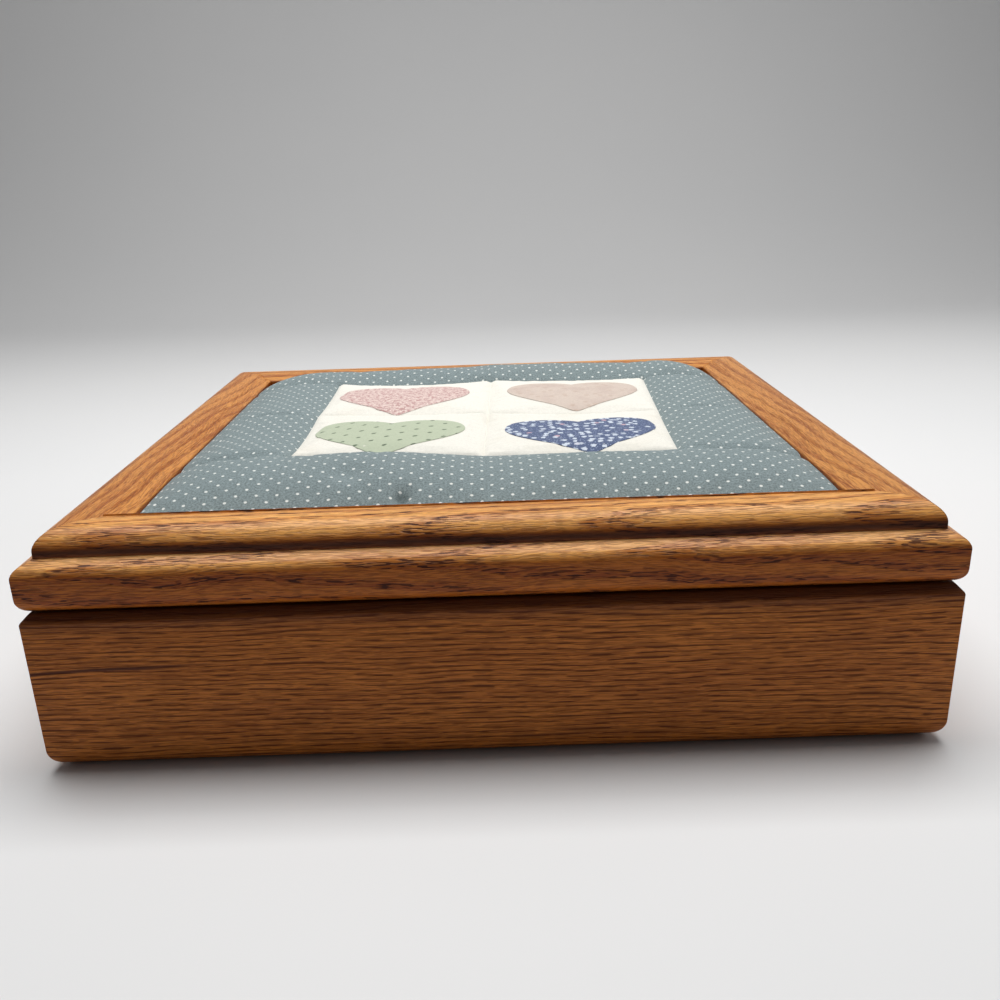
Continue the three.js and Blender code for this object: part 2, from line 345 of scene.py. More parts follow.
# Heights of the stuffed top: seam crossings, seam middles and the squares' crowns, front row first
stuffed = {
    "heights": [
        [71.2, 70.8, 70.0, 70.0, 70.3],
        [69.9, 71.5, 69.6, 70.7, 69.6],
        [71.0, 70.2, 70.3, 69.0, 69.8],
        [70.4, 72.1, 70.3, 71.7, 69.9],
        [71.2, 69.3, 71.0, 69.6, 70.3],
    ],
    "bows": {-1: (3.8, 1.4), 1: (-0.5, 0.0)},
    "frontBulge": [0.8, 1.3, 3.0, 1.1, 2.0, 1.0, 0.8],
    "backBulge": [1.0, 2.0, 4.0, 4.0, 4.6, 3.4, 1.8],
    "leftBulge": [0.9, 1.2, 1.3, 1.2, 1.0],
    "rightBulge": [0.8, 1.1, 1.3, 1.4, 1.8],
    "sinkAtSides": 0.6,
    "sinkAtEnds": 1.6,
    "cornerSink": {-1: 0.4, 1: 3.0},
    "stripSeam": (1.3, 3.2),
    "blockSeam": (1.0, 1.1),
    "squareSpan": 62.0,
    "stripSpan": 44.0,
}
dents = [
    {"place": (-42.0, -82.0), "size": 6.0, "depth": 1.9},
    {"place": (-25.2, -95.2), "size": 3.4, "depth": 2.0},
    {"place": (77.0, -50.0), "size": 5.0, "depth": 0.9},
    {"place": (-80.0, -56.0), "size": 5.5, "depth": 0.7},
]
innerEdge = railHigh.z / mm - railShape["innerFall"]


def blockPoint(across, along):
    width = patchwork["frontWidth"] + (patchwork["backWidth"] - patchwork["frontWidth"]) * (along + 1) / 2
    turn = math.radians(patchwork["turn"])
    x, y = across * width / 2, along * patchwork["depth"] / 2
    return Vector((
        patchwork["middle"][0] + x * math.cos(turn) - y * math.sin(turn),
        patchwork["middle"][1] + x * math.sin(turn) + y * math.cos(turn),
    ))


def seamEnd(across, along):
    start, corner = blockPoint(-across, along), blockPoint(across, along)
    share = (across * padHalf - corner.x) / (corner.x - start.x)
    return corner + (corner - start) * share


def throughThree(values, place):
    # A curve through three values at -1, 0 and 1
    first, middle, last = values
    return first * place * (place - 1) / 2 + middle * (1 - place * place) + last * place * (place + 1) / 2


def throughAll(values, share):
    # A smooth run through evenly spaced values
    place = max(0.0, min(0.9999, share)) * (len(values) - 1)
    here = int(place)
    part = place - here
    before = values[max(here - 1, 0)]
    first, second = values[here], values[here + 1]
    after = values[min(here + 2, len(values) - 1)]
    return first + part / 2 * (second - before + part * (
        2 * before - 5 * first + 4 * second - after + part * (3 * (first - second) + after - before)))


def blockHeight(across, along):
    column, row = (0 if across < 0 else 2), (0 if along < 0 else 2)
    inAcross = 2 * across + (1 if across < 0 else -1)
    inAlong = 2 * along + (1 if along < 0 else -1)
    rows = [throughThree(stuffed["heights"][row + step][column:column + 3], inAcross) for step in range(3)]
    return throughThree(rows, inAlong)


def creaseDepth(across, along):
    # How far the stitching pulls the cloth down beside the nearest seam
    square, strip = stuffed["squareSpan"], stuffed["stripSpan"]
    fromEnds = abs(abs(along) - 1) * (square if abs(along) < 1 else strip)
    if abs(across) > 1:
        depth, spread = stuffed["stripSeam"]
        return depth * math.exp(-(fromEnds / spread) ** 2) * min(1.0, (abs(across) - 1) * 3)
    if abs(along) > 1:
        distance = fromEnds
    else:
        distance = min(square * value for value in (
            abs(across), abs(along), 1 - abs(across), 1 - abs(along)))
    depth, spread = stuffed["blockSeam"]
    return depth * math.exp(-(distance / spread) ** 2)


def quiltPoint(across, along):
    # Where a point of the flat patchwork comes to lie; both values run from -2 to 2, patch by patch
    inAcross, inAlong = max(-1.0, min(1.0, across)), max(-1.0, min(1.0, along))
    place = blockPoint(inAcross, inAlong)
    bow = stuffed["bows"][-1 if along < 0 else 1][0 if across < 0 else 1]
    place.y += bow * (1 - (2 * abs(inAcross) - 1) ** 2) * inAlong ** 4
    inSide, inEnd = 2 - max(1.0, abs(across)), 2 - max(1.0, abs(along))
    if abs(across) > 1:
        place += (seamEnd(math.copysign(1, across), inAlong) - place) * (1 - inSide)
    if abs(along) > 1:
        place += (Vector((place.x, math.copysign(padHalf, along))) - place) * (1 - inEnd)
    rollSide, rollEnd = 1 - (1 - inSide) ** 3, 1 - (1 - inEnd) ** 3
    nearSide, nearEnd = (1 - inSide) ** 3, (1 - inEnd) ** 3
    sink = stuffed["sinkAtSides"] * nearSide + stuffed["sinkAtEnds"] * nearEnd
    sink /= nearSide + nearEnd + 1e-6
    rimHeight = innerEdge - sink
    crown = blockHeight(inAcross, inAlong)
    if abs(across) > 1:
        # The side strips run past the middle seam in one smooth curve
        seamHeights = [row[0 if across < 0 else -1] for row in stuffed["heights"]]
        crown += (throughAll(seamHeights, (inAlong + 1) / 2) - crown) * (1 - inSide)
    height = rimHeight + (crown - rimHeight) * rollSide * rollEnd
    if abs(across) > 1:
        bulge = throughAll(stuffed["leftBulge" if across < 0 else "rightBulge"], (inAlong + 1) / 2)
        height += 4 * inSide * (1 - inSide) * bulge * rollEnd
    if abs(along) > 1:
        bulge = throughAll(stuffed["frontBulge" if along < 0 else "backBulge"], (place.x / padHalf + 1) / 2)
        height += 4 * inEnd * (1 - inEnd) * bulge * rollSide
    height -= stuffed["cornerSink"][-1 if along < 0 else 1] * ((1 - inSide) * (1 - inEnd)) ** 3
    height -= creaseDepth(across, along)
    for dent in dents:
        distance = (place - Vector(dent["place"])).length
        height -= dent["depth"] * math.exp(-(distance / dent["size"]) ** 2)
    return Vector((place.x, place.y, height)) * mm


def gridLine(cells):
    # Positions from -2 to 2 by patch: the strips are the outer steps, the squares the inner ones
    strip, square = patchwork["stripCells"], patchwork["squareCells"]
    if cells < strip:
        return -2 + cells / strip
    if cells <= strip + 2 * square:
        return -1 + (cells - strip) / square
    return 1 + (cells - strip - 2 * square) / strip


def makeQuilt():
    # One sheet for the whole top: a grid drawn out along the seams, lifted to the crown
    strip, square = patchwork["stripCells"], patchwork["squareCells"]
    cells = 2 * strip + 2 * square
    startClean()
    bpy.ops.mesh.primitive_grid_add(x_subdivisions=cells, y_subdivisions=cells, size=2 * padHalf * mm)
    sheet = bpy.context.object
    sheet.name = "quilt_top"
    wide = cells + 1
    for vert in sheet.data.vertices:
        vert.co = quiltPoint(gridLine(vert.index % wide), gridLine(vert.index // wide))
    return sheet, wide


stuffing = {
    "simScale": 10.0,
    "frames": 18,
    "pressure": 1.4,
    "slack": 0.006,
    "mostRise": 0.5,
    "mostFall": 0.35,
    "mostSlip": 0.5,
    "quality": 6,
    "mass": 0.3,
    "stretching": 25,
    "shearing": 8,
    "bending": 0.6,
}


def puffQuilt(sheet, wide):
    # The stitched lines and the tucked-in rim are held while the stuffing pushes the cloth up
    strip, square = patchwork["stripCells"], patchwork["squareCells"]
    lines = {0, strip, strip + square, strip + 2 * square, wide - 1}
    held = sheet.vertex_groups.new(name="held")
    stitched = []
    for index in range(len(sheet.data.vertices)):
        row, column = divmod(index, wide)
        rim = {row, column} & {0, wide - 1}
        onRow = row in lines
        onColumn = column in lines and strip <= row <= strip + 2 * square
        if rim or onRow and (row != strip + square or strip <= column <= strip + 2 * square) or onColumn:
            stitched.append(index)
    held.add(stitched, 1.0, "REPLACE")
    before = [vert.co.copy() for vert in sheet.data.vertices]
    sheet.data.transform(Matrix.Scale(stuffing["simScale"], 4))
    makeActive(sheet)
    bpy.ops.object.modifier_add(type="CLOTH")
    cloth = sheet.modifiers[-1]
    cloth.settings.quality = stuffing["quality"]
    cloth.settings.mass = stuffing["mass"]
    cloth.settings.tension_stiffness = stuffing["stretching"]
    cloth.settings.compression_stiffness = stuffing["stretching"]
    cloth.settings.shear_stiffness = stuffing["shearing"]
    cloth.settings.bending_stiffness = stuffing["bending"]
    cloth.settings.shrink_min = -stuffing["slack"]
    cloth.settings.vertex_group_mass = "held"
    cloth.settings.use_pressure = True
    cloth.settings.uniform_pressure_force = stuffing["pressure"]
    cloth.settings.effector_weights.gravity = 0
    cloth.point_cache.frame_start = 1
    cloth.point_cache.frame_end = stuffing["frames"]
    for number in range(1, stuffing["frames"] + 1):
        bpy.context.scene.frame_set(number)
    makeActive(sheet)
    bpy.ops.object.modifier_apply(modifier=cloth.name)
    bpy.context.scene.frame_set(1)
    sheet.data.transform(Matrix.Scale(1 / stuffing["simScale"], 4))
    rises = []
    for vert, old in zip(sheet.data.vertices, before):
        move = vert.co - old
        rises.append(move.z / mm)
        move.z = max(-stuffing["mostFall"] * mm, min(stuffing["mostRise"] * mm, move.z))
        flat = Vector((move.x, move.y))
        if flat.length > stuffing["mostSlip"] * mm:
            flat *= stuffing["mostSlip"] * mm / flat.length
        vert.co = old + Vector((flat.x, flat.y, move.z))
    capped = sum(not -stuffing["mostFall"] < rise < stuffing["mostRise"] for rise in rises)
    print("quilt puffed: rise from", round(min(rises), 2), "to", round(max(rises), 2), "mm before the cap,",
          capped, "of", len(rises), "points capped")


def reachFrom(points, wide, start, alongRows):
    # How far each grid point lies from a starting line, measured over the cloth
    reach = [0.0] * len(points)
    step = 1 if alongRows else wide
    for line in range(wide):
        first = line * wide if alongRows else line
        for way in (1, -1):
            place = start
            while 0 <= place + way < wide:
                here, there = first + place * step, first + (place + way) * step
                reach[there] = reach[here] + way * (points[there] - points[here]).length
                place += way
    return reach


def flattenToCut(sheet, wide):
    # A UV map that holds each point's place in its own piece of flat cloth, in metres
    points = [vert.co for vert in sheet.data.vertices]
    cells = wide - 1
    lines = (0, wide // 2, cells)
    across = [reachFrom(points, wide, line, True) for line in lines]
    along = [reachFrom(points, wide, line, False) for line in lines]
    layer = sheet.data.uv_layers.active
    layer.name = "cloth"
    for face in sheet.data.polygons:
        row, column = divmod(face.index, cells)
        zones = []
        for place in (gridLine(column + 0.5), gridLine(row + 0.5)):
            zones.append(1 if abs(place) < 1 else 0 if place < 0 else 2)
        if zones[1] != 1:
            zones[0] = 1
        for loop in face.loop_indices:
            vert = sheet.data.loops[loop].vertex_index
            layer.data[loop].uv = (across[zones[0]][vert], along[zones[1]][vert])


quilt, quiltWide = makeQuilt()
puffQuilt(quilt, quiltWide)
flattenToCut(quilt, quiltWide)
print("quilt top shaped")


patches = {
    "border_front": ((-2, 2), (-2, -1)),
    "border_back": ((-2, 2), (1, 2)),
    "border_left": ((-2, -1), (-1, 1)),
    "border_right": ((1, 2), (-1, 1)),
    "square_front_left": ((-1, 0), (-1, 0)),
    "square_front_right": ((0, 1), (-1, 0)),
    "square_back_left": ((-1, 0), (0, 1)),
    "square_back_right": ((0, 1), (0, 1)),
}


def cutPatch(name, across, along):
    # One patch of the quilt top as its own cloth, its seam edges rolled under
    makeActive(quilt)
    bpy.ops.object.duplicate(linked=False)
    patch = bpy.context.object
    patch.name = name.replace("_", "_cloth_", 1)
    cells = quiltWide - 1
    places = [gridLine(cell + 0.5) for cell in range(cells)]
    bpy.ops.object.mode_set(mode="EDIT")
    mesh = bmesh.from_edit_mesh(patch.data)
    for face in mesh.faces:
        row, column = divmod(face.index, cells)
        inside = across[0] < places[column] < across[1] and along[0] < places[row] < along[1]
        face.select_set(not inside)
    bmesh.update_edit_mesh(patch.data)
    bpy.ops.mesh.delete(type="FACE")
    bpy.ops.mesh.select_all(action="SELECT")
    bpy.ops.mesh.subdivide(number_cuts=1, smoothness=1)
    bpy.ops.mesh.select_mode(type="VERT")
    bpy.ops.mesh.select_all(action="DESELECT")
    mesh = bmesh.from_edit_mesh(patch.data)
    rimReach = (padHalf - patchwork["rimKept"]) * mm
    for vert in mesh.verts:
        vert.select = vert.is_boundary and max(abs(vert.co.x), abs(vert.co.y)) < rimReach
    bmesh.update_edit_mesh(patch.data)
    bpy.ops.transform.translate(value=(0, 0, -patchwork["seamRoll"] * mm))
    bpy.ops.object.mode_set(mode="OBJECT")
    bpy.ops.object.modifier_add(type="SOLIDIFY")
    thicken = patch.modifiers[-1]
    thicken.thickness = patchwork["thickness"] * mm
    thicken.offset = -1
    bpy.ops.object.modifier_apply(modifier=thicken.name)
    bpy.ops.object.shade_smooth_by_angle(angle=math.radians(patchwork["smoothAngle"]))
    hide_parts(name)
    return patch


cloths = {name: cutPatch(name, *span) for name, span in patches.items()}
print("patches cut")


underCloth = 0.2  # the space between the cloth and the wadding, in millimetres


def makeWadding():
    # The stuffing under the cloth, down to the mounting board
    drop = patchwork["thickness"] + patchwork["seamRoll"] + underCloth
    makeActive(quilt)
    bpy.ops.object.duplicate(linked=False)
    wadding = bpy.context.object
    wadding.name = "lid_wadding"
    bpy.ops.object.mode_set(mode="EDIT")
    bpy.ops.mesh.select_all(action="SELECT")
    bpy.ops.transform.translate(value=(0, 0, -drop * mm))
    bpy.ops.mesh.select_mode(type="EDGE")
    bpy.ops.mesh.select_all(action="DESELECT")
    bpy.ops.mesh.select_non_manifold()
    bpy.ops.mesh.extrude_region_move(TRANSFORM_OT_translate={"value": (0, 0, -5 * mm)})
    bpy.ops.transform.resize(value=(1, 1, 0), center_override=(0, 0, padLow.z))
    bpy.ops.mesh.edge_face_add()
    bpy.ops.mesh.select_all(action="SELECT")
    bpy.ops.mesh.normals_make_consistent(inside=False)
    bpy.ops.object.mode_set(mode="OBJECT")
    bpy.ops.object.shade_smooth_by_angle(angle=math.radians(patchwork["smoothAngle"]))
    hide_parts("lid_pad")
    return wadding


wadding = makeWadding()

# Hearts, cut to one pattern; places and sizes in millimetres, the outline in shares of its size
heartPattern = {
    "width": 53.0,
    "height": 42.0,
    "lobe": [(0, 0.12), (0.14, 0.26), (0.98, 0.43), (1, 0)],
    "side": [(1, 0), (1, -0.24), (0.58, -0.53), (0, -0.74)],
    "outline": 96,
    "rings": 9,
    "rimRing": 0.03,
    "middleReach": 0.96,
    "lift": 0.03,
    "thickness": 0.18,
    "dropFrom": 90.0,
}
hearts = {
    "heart_green": {"middle": (-34.4, -23.7), "turn": -3.0},
    "heart_navy": {"middle": (32.3, -27.0), "turn": 3.0},
    "heart_pink": {"middle": (-33.5, 36.3), "turn": -2.0},
    "heart_beige": {"middle": (34.6, 36.2), "turn": -1.0},
}


def bezier(first, second, third, fourth, share):
    rest = 1 - share
    return (first * rest ** 3 + second * 3 * rest ** 2 * share
            + third * 3 * rest * share ** 2 + fourth * share ** 3)


def heartEdge(share):
    # A point of the outline: right lobe, right side to the tip, then the same on the left
    lobe, side = ([Vector(point) for point in heartPattern[key]] for key in ("lobe", "side"))
    mirrored = share > 0.5
    part = (1 - share if mirrored else share) * 2
    point = bezier(*lobe, part * 2) if part < 0.5 else bezier(*side, part * 2 - 1)
    return Vector((-point.x if mirrored else point.x, point.y))


def makeHeart(name, values):
    startClean()
    bpy.ops.mesh.primitive_circle_add(vertices=heartPattern["outline"], radius=1, fill_type="NGON")
    heart = bpy.context.object
    heart.name = name.replace("_", "_cloth_", 1)
    bpy.ops.object.mode_set(mode="EDIT")
    ringStep = heartPattern["middleReach"] / heartPattern["rings"]
    for ring in range(heartPattern["rings"]):
        step = ringStep if ring else heartPattern["rimRing"]
        bpy.ops.mesh.select_mode(type="FACE")
        bpy.ops.mesh.select_all(action="DESELECT")
        mesh = bmesh.from_edit_mesh(heart.data)
        max(mesh.faces, key=lambda face: len(face.verts)).select_set(True)
        bpy.ops.mesh.inset(thickness=step, use_even_offset=False)
    bpy.ops.mesh.poke()
    bpy.ops.object.mode_set(mode="OBJECT")
    turn = Matrix.Rotation(math.radians(values["turn"]), 2)
    centre = Vector(values["middle"])
    wide, high = heartPattern["width"] / 2, heartPattern["height"]
    flat = {}
    for vert in heart.data.vertices:
        share = (math.atan2(vert.co.x, vert.co.y) / math.tau) % 1.0
        reach = vert.co.to_2d().length
        edge = heartEdge(share)
        place = turn @ Vector((edge.x * wide, edge.y * high)) * reach
        flat[vert.index] = place
        vert.co = Vector((centre.x + place.x, centre.y + place.y, heartPattern["dropFrom"])) * mm
    layer = heart.data.uv_layers.new(name="cloth")
    for loop in heart.data.loops:
        layer.data[loop.index].uv = flat[loop.vertex_index] * mm
    makeActive(heart)
    bpy.ops.object.modifier_add(type="SHRINKWRAP")
    drape = heart.modifiers[-1]
    drape.target = quilt
    drape.wrap_method = "PROJECT"
    drape.use_project_z = True
    drape.use_negative_direction = True
    drape.use_positive_direction = False
    bpy.ops.object.modifier_apply(modifier=drape.name)
    lift = (heartPattern["lift"] + heartPattern["thickness"]) * mm
    heart.data.transform(Matrix.Translation((0, 0, lift)))
    bpy.ops.object.modifier_add(type="SOLIDIFY")
    thicken = heart.modifiers[-1]
    thicken.thickness = heartPattern["thickness"] * mm
    thicken.offset = -1
    bpy.ops.object.modifier_apply(modifier=thicken.name)
    bpy.ops.object.mode_set(mode="EDIT")
    bpy.ops.mesh.select_mode(type="VERT")
    bpy.ops.mesh.select_all(action="SELECT")
    bpy.ops.mesh.normals_make_consistent(inside=False)
    bpy.ops.object.mode_set(mode="OBJECT")
    bpy.ops.object.modifier_add(type="SUBSURF")
    soften = heart.modifiers[-1]
    soften.levels = soften.render_levels = 1
    bpy.ops.object.modifier_apply(modifier=soften.name)
    bpy.ops.object.shade_smooth()
    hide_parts(name)
    return heart


for name, values in hearts.items():
    cloths[name] = makeHeart(name, values)
print("hearts laid on")


# Materials: a signal is one value in a material, and sums on it add Math nodes
class Signal:
    def __init__(self, look, socket):
        self.look = look
        self.socket = socket

    def maths(self, operation, *values):
        return self.look.node("ShaderNodeMath", {"operation": operation}, dict(enumerate(values)))

    def __add__(self, other):
        return self.maths("ADD", self, other)

    def __radd__(self, other):
        return self.maths("ADD", other, self)

    def __sub__(self, other):
        return self.maths("SUBTRACT", self, other)

    def __rsub__(self, other):
        return self.maths("SUBTRACT", other, self)

    def __mul__(self, other):
        return self.maths("MULTIPLY", self, other)

    def __rmul__(self, other):
        return self.maths("MULTIPLY", other, self)

    def __truediv__(self, other):
        return self.maths("DIVIDE", self, other)

    def __pow__(self, other):
        return self.maths("POWER", self, other)

    def root(self):
        return self.maths("SQRT", self)

    def fraction(self):
        return self.maths("FRACT", self)

    def sine(self):
        return self.maths("SINE", self)

    def absolute(self):
        return self.maths("ABSOLUTE", self)

    def largest(self, other):
        return self.maths("MAXIMUM", self, other)

    def smooth(self, low, high):
        # 0 below low and 1 above high, or the other way round where low is the larger
        return self.look.node(
            "ShaderNodeMapRange", {"interpolation_type": "SMOOTHSTEP"},
            {"Value": self, "From Min": low, "From Max": high})


class Look:
    def __init__(self, name):
        self.material = bpy.data.materials.new(name)
        self.material.use_nodes = True
        self.tree = self.material.node_tree
        self.shader = self.tree.nodes["Principled BSDF"]

    def node(self, kind, settings=None, inputs=None, output=0):
        made = self.tree.nodes.new(kind)
        for key, value in (settings or {}).items():
            setattr(made, key, value)
        for key, value in (inputs or {}).items():
            self.feed(made.inputs[key], value)
        return Signal(self, made.outputs[output])

    def feed(self, socket, value):
        if isinstance(value, Signal):
            self.tree.links.new(value.socket, socket)
        else:
            socket.default_value = value

    def set(self, **values):
        for key, value in values.items():
            self.feed(self.shader.inputs[key.replace("_", " ")], value)

    def place(self, output="Object"):
        return self.node("ShaderNodeTexCoord", output=output)

    def cloth(self):
        return self.node("ShaderNodeUVMap", {"uv_map": "cloth"})

    def parts(self, vector):
        split = self.node("ShaderNodeSeparateXYZ", inputs={0: vector})
        outputs = split.socket.node.outputs
        return [Signal(self, outputs[axis]) for axis in range(3)]

    def vector(self, x, y, z=0.0):
        return self.node("ShaderNodeCombineXYZ", inputs={0: x, 1: y, 2: z})

    def noise(self, vector, scale=1.0, detail=2.0, roughness=0.5):
        return self.node("ShaderNodeTexNoise", inputs={
            "Vector": vector, "Scale": scale, "Detail": detail, "Roughness": roughness})

    def cells(self, vector, scale=1.0, output="Distance"):
        return self.node("ShaderNodeTexVoronoi", {"voronoi_dimensions": "2D"}, {
            "Vector": vector, "Scale": scale}, output)

    def blend(self, factor, first, second):
        return self.node("ShaderNodeMix", {"data_type": "RGBA"}, {0: factor, 6: first, 7: second}, 2)

    def tint(self, factor, first, second):
        settings = {"data_type": "RGBA", "blend_type": "MULTIPLY"}
        return self.node("ShaderNodeMix", settings, {0: factor, 6: first, 7: second}, 2)

    def relief(self, height, strength, depth):
        return self.node("ShaderNodeBump", inputs={
            "Height": height, "Strength": strength, "Distance": depth})


def colour(red, green, blue):
    return (red, green, blue, 1.0)


# Oak: lengths in millimetres, the grain runs along the board
lidOak = {
    "light": colour(0.83, 0.40, 0.105),
    "middle": colour(0.45, 0.15, 0.027),
    "dark": colour(0.05, 0.009, 0.002),
    # painted shade: the tint that darkens upright faces against the tops
    "sides": colour(0.61, 0.36, 0.12),
    "ringGap": 3.4,
    "ringCentre": (60.0, 22.0),
    "ringDrift": (0.03, 0.05),
    "ringWander": 9.0,
    "wobble": 9.0,
    "poreLong": 5.0,
    "poreWide": 0.42,
    "poreStart": 0.525,
    "poreEverywhere": 0.36,
    "poreDark": 0.92,
    "fibreLong": 8.0,
    "fibreStrong": 2.0,
    "bandWide": 5.0,
    "bandStrong": 1.3,
    "needleStrong": 0.35,
    "roughness": 0.36,
    # painted shade: across, height and reach of a dark line in the fillet at the nose's foot and one at the
    # lip's lower edge
    "paintedShades": [(5.4, 63.4, 2.2), (3.0, 48.0, 2.6)],
}
boxOak = {
    "light": colour(0.63, 0.205, 0.028),
    "middle": colour(0.41, 0.11, 0.011),
    "dark": colour(0.08, 0.014, 0.002),
    "sides": colour(1.0, 1.0, 1.0),
    "ringGap": 1.6,
    "ringCentre": (60.0, -260.0),
    "ringDrift": (0.0, 0.012),
    "ringWander": 9.0,
    "wobble": 2.8,
    "poreLong": 8.5,
    "poreWide": 0.34,
    "poreStart": 0.47,
    "poreEverywhere": 0.45,
    "poreDark": 0.85,
    "fibreLong": 14.0,
    "fibreStrong": 0.9,
    "bandWide": 9.0,
    "bandStrong": 1.0,
    "needleStrong": 0.35,
    "roughness": 0.42,
    # painted shade along the box's rim under the lid: across, height and reach
    "paintedShades": [(1.2, 47.2, 7.0)],
}
mineralStreak = {
    "start": -127.0,
    "end": -69.0,
    "fade": 30.0,
    "height": 30.2,
    "climb": 0.036,
    "sway": 3.0,
    "thick": 0.85,
    "strong": 0.95,
}
woodFibre = {"wide": 0.3, "needleLong": 3.0, "bandLong": 80.0, "swayLong": 45.0, "swayHigh": 25.0}


def oakLook(name, oak, grainAlong, shift, streak=None, board=None):
    look = Look(name)
    x, y, z = (part * 1000.0 for part in look.parts(look.place()))
    along, across = (x, y) if grainAlong == "x" else (y, x)
    sway = look.noise(look.vector(
        along / woodFibre["swayLong"], z / woodFibre["swayHigh"], shift), detail=1.5)
    if streak:
        line = z - (along - streak["start"]) * streak["climb"] - streak["height"]
        line = line + (sway - 0.5) * streak["sway"]
        reach = along.smooth(streak["end"], streak["end"] - streak["fade"])
        streakTone = (line.absolute() / streak["thick"]).smooth(1.0, 0.2) * reach
    acrossOut = across.absolute() - boxHalf
    # Painted shade, darkest at each listed place in the section and fading out over its reach
    paintedShadeMasks = []
    for shadeAcross, shadeHeight, reach in oak["paintedShades"]:
        away = (acrossOut + shadeAcross) * (acrossOut + shadeAcross)
        away = (away + (z - shadeHeight) * (z - shadeHeight)).root()
        paintedShadeMasks.append(away.smooth(reach, 0.1))
    driftOut, driftUp = (along * share for share in oak["ringDrift"])
    along = along + shift
    z = z + (sway - 0.5) * oak["wobble"] * 0.5
    acrossWavy = acrossOut + (sway - 0.5) * oak["wobble"] * 0.5
    bow = look.noise(look.vector(along * 0.012, acrossOut * 0.03, z * 0.03), detail=1.5)
    fromAcross = acrossOut + driftOut + oak["ringCentre"][0]
    fromUp = z - oak["ringCentre"][1] + driftUp
    radius = (fromAcross * fromAcross + fromUp * fromUp).root() + (bow - 0.5) * oak["ringWander"]
    ring = (radius / oak["ringGap"]).fraction()
    early = ring.smooth(0.0, 0.1) * ring.smooth(0.66, 0.2)
    poreWide = oak["poreWide"]
    pores = look.noise(look.vector(
        along / oak["poreLong"], acrossWavy / poreWide, z / poreWide), detail=1.0)
    pores = pores.smooth(oak["poreStart"], oak["poreStart"] + 0.08)
    dashes = pores * (early * (1.0 - oak["poreEverywhere"]) + oak["poreEverywhere"])
    fine, bandWide = woodFibre["wide"], oak["bandWide"]
    needles = look.noise(look.vector(
        along / woodFibre["needleLong"], acrossWavy / fine, z / fine), detail=0.0).smooth(0.56, 0.68)
    fibre = look.noise(look.vector(along / oak["fibreLong"], acrossWavy / fine, z / fine), detail=2.0)
    band = look.noise(look.vector(
        along / woodFibre["bandLong"], acrossOut / bandWide, z / bandWide), detail=2.5, roughness=0.6)
    tone = (band - 0.5) * oak["bandStrong"] + early * 0.4 + (fibre - 0.5) * oak["fibreStrong"] + 0.32
    wood = look.blend(tone.smooth(0.0, 1.0), oak["light"], oak["middle"])
    if board:
        wood = look.tint(1.0, wood, board["tone"])
        dashes = dashes * board["pores"]
    marks = (dashes * oak["poreDark"]).largest(needles * oak["needleStrong"])
    wood = look.blend(marks, wood, oak["dark"])
    if streak:
        wood = look.blend(streakTone * streak["strong"], wood, oak["dark"])
    # Painted shade darkens the fillet at the nose's foot and the edges along the gap between lid and box,
    # all along the piece
    for stainAndShade in paintedShadeMasks:
        wood = look.blend(stainAndShade * 0.9, wood, oak["dark"])
    # Painted shade: upright faces are tinted deeper than the tops, to meet the tones in the photograph
    upward = look.parts(look.node("ShaderNodeNewGeometry", output="Normal"))[2]
    wood = look.tint(upward.smooth(0.75, 0.1), wood, oak["sides"])
    look.set(Base_Color=wood, Roughness=oak["roughness"] + dashes * 0.3 + (fibre - 0.5) * 0.12)
    look.set(Coat_Weight=0.08, Coat_Roughness=0.25, Specular_IOR_Level=0.22)
    height = fibre * 0.15 - dashes - needles * 0.3 - early * 0.1
    look.set(Normal=look.relief(height, 0.6, 0.22 * mm))
    return look.material


def paint(piece, material):
    piece.data.materials.clear()
    piece.data.materials.append(material)


# Each rail has its own tone and share of pores, matched to the photograph
railBoards = {
    "front": {"tone": colour(1.0, 1.0, 1.0), "pores": 1.0},
    "right": {"tone": colour(0.71, 0.64, 0.61), "pores": 0.35},
    "back": {"tone": colour(0.80, 0.74, 0.72), "pores": 0.5},
    "left": {"tone": colour(0.73, 0.63, 0.55), "pores": 0.35},
}

boardShift, railShift = 300.0, 40.0  # how far each piece lies from the next in the generated wood
for index, side in enumerate(sideNames):
    grain = "x" if side in ("front", "back") else "y"
    streak = mineralStreak if side == "front" else None
    shift = boardShift * index
    paint(boards[side], oakLook(f"box_oak_{side}", boxOak, grain, shift, streak))
    paint(rails[side], oakLook(
        f"lid_oak_{side}", lidOak, grain, shift + railShift, board=railBoards[side]))


# Cottons: dots, marks and threads in millimetres, noise and cell scales per metre of cloth
def threads(look, flat, pitch=0.36):
    # Over-and-under threads of a plain weave, as a height
    x, y, _ = look.parts(flat)
    turns = math.tau / pitch * 1000.0
    return ((x * turns).sine() * (y * turns).sine()).absolute()


def cottonLook(name, colouring):
    look = Look(name)
    flat = look.cloth()
    weave = threads(look, flat)
    slub = look.noise(flat, scale=900.0, detail=3.0, roughness=0.7)
    printed, roughness = colouring(look, flat)
    # Painted shade in the hollows between the threads, with the slubs' own uneven tone
    threadShadeAndSlub = look.blend((1.0 - weave) * 0.16 + (slub - 0.5) * 0.3, printed, colour(0.0, 0.0, 0.0))
    look.set(Base_Color=threadShadeAndSlub, Roughness=roughness)
    look.set(Sheen_Weight=0.12, Sheen_Roughness=0.5, Specular_IOR_Level=0.25)
    crumple = look.noise(flat, scale=55.0, detail=2.0)
    look.set(Normal=look.relief(weave * 0.35 + slub * 0.25 + crumple * 2.0, 0.5, 0.12 * mm))
    return look.material


pinDots = {
    "pitch": 6.0,
    "dot": 0.47,
    "edge": (0.14, -0.12),
    "ground": colour(0.125, 0.165, 0.17),
    "fleck": colour(0.27, 0.33, 0.335),
    "white": colour(0.80, 0.82, 0.78),
    "mark": colour(0.02, 0.035, 0.035),
}

# Small dark marks on the front strip: place, reach and strength
smallMarks = [(-25.2, -95.2, 3.0, 0.5), (-1.9, -100.2, 1.0, 0.8), (19.9, -62.8, 1.1, 0.8)]


